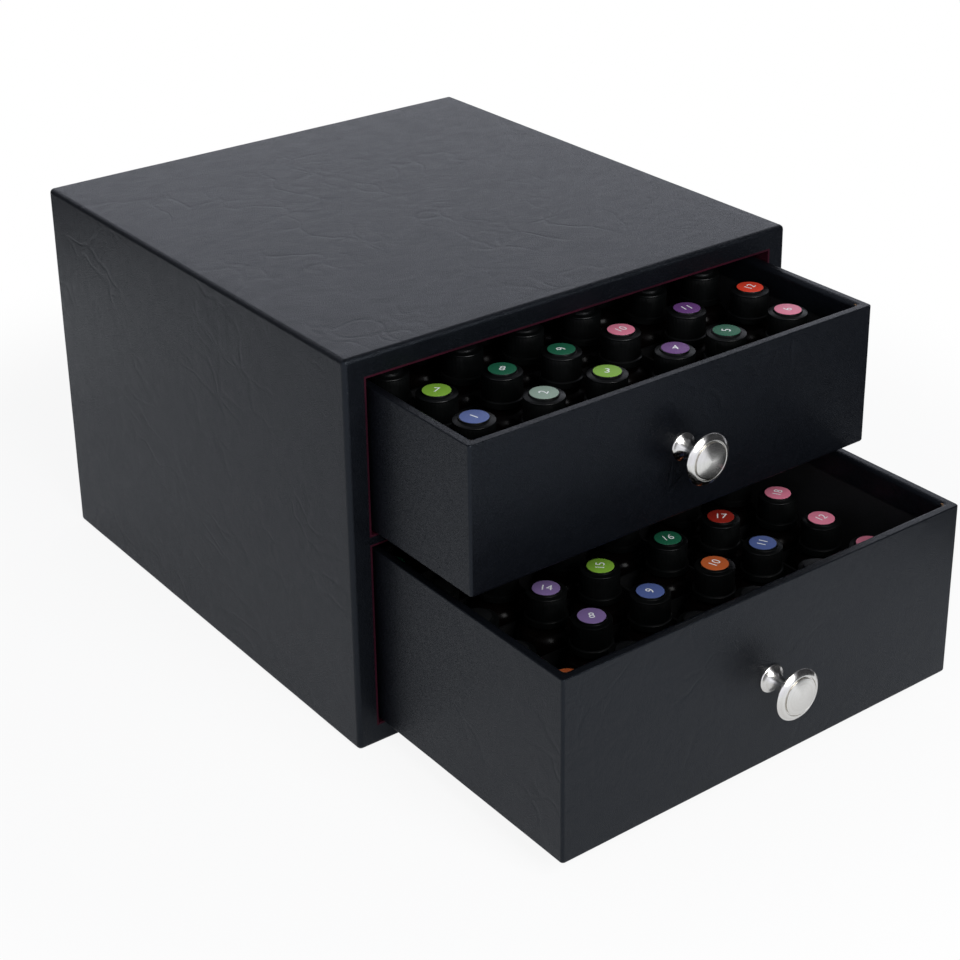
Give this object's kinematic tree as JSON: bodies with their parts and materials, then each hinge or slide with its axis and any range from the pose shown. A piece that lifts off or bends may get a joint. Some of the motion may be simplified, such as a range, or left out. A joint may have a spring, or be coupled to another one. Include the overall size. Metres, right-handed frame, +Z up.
{
  "type": "essential oil drawer box",
  "caption": "Black leather-covered box with sliding drawers for essential oil bottles, round metal knobs, red-lined bays and slotted card dividers.",
  "frame": {"origin": "middle of the underside of the case", "axes": "+Z up, front of the case faces -Y, +X to its right seen from the front"},
  "size_m": [0.27, 0.4459, 0.204],
  "materials": {
    "leatherette": "fine soft grain, satin",
    "fibreboard": "raw board",
    "wine_lining": "matte lining paper on card",
    "black_paper": "matte",
    "divider_card": "matte",
    "nickel": "satin nickel plate",
    "screw_steel": "zinc plated",
    "dark_glass": "gloss",
    "plug_plastic": "matte",
    "cap_plastic": "satin",
    "sticker_paper": "plain colours"
  },
  "bodies": {
    "case": {"case_top_board": "fibreboard", "case_bottom_board": "fibreboard", "case_left_board": "fibreboard", "case_right_board": "fibreboard", "case_back_board": "fibreboard", "case_shelf_board": "fibreboard", "case_wrap": "leatherette", "case_back_sheet": "leatherette", "case_base_sheet": "black_paper", "upper_bay_lining": "wine_lining", "lower_bay_lining": "wine_lining"},
    "upper_drawer": {"upper_drawer_front_board": "fibreboard", "upper_drawer_back_board": "fibreboard", "upper_drawer_left_board": "fibreboard", "upper_drawer_right_board": "fibreboard", "upper_drawer_bottom_board": "fibreboard", "upper_drawer_wrap": "leatherette", "upper_drawer_base_sheet": "black_paper", "upper_drawer_floor_lining": "black_paper", "upper_long_dividers": "divider_card", "upper_cross_dividers": "divider_card", "upper_knob": "nickel", "upper_knob_screw": "screw_steel", "upper_knob_washer": "screw_steel", "upper_bottles": "dark_glass", "upper_orifice_plugs": "plug_plastic", "upper_caps": "cap_plastic", "upper_cap_labels": "sticker_paper"},
    "lower_drawer": {"lower_drawer_front_board": "fibreboard", "lower_drawer_back_board": "fibreboard", "lower_drawer_left_board": "fibreboard", "lower_drawer_right_board": "fibreboard", "lower_drawer_bottom_board": "fibreboard", "lower_drawer_wrap": "leatherette", "lower_drawer_base_sheet": "black_paper", "lower_drawer_floor_lining": "black_paper", "lower_long_dividers": "divider_card", "lower_cross_dividers": "divider_card", "lower_knob": "nickel", "lower_knob_screw": "screw_steel", "lower_knob_washer": "screw_steel", "lower_bottles": "dark_glass", "lower_orifice_plugs": "plug_plastic", "lower_caps": "cap_plastic", "lower_cap_labels": "sticker_paper"}
  },
  "joints": [
    {"name": "upper_drawer_slide", "type": "slide", "parent": "case", "child": "upper_drawer", "axis": [0, -1, 0], "range_m": [-0.0733, 0.1267]},
    {"name": "lower_drawer_slide", "type": "slide", "parent": "case", "child": "lower_drawer", "axis": [0, -1, 0], "range_m": [-0.1359, 0.0641]}
  ]
}
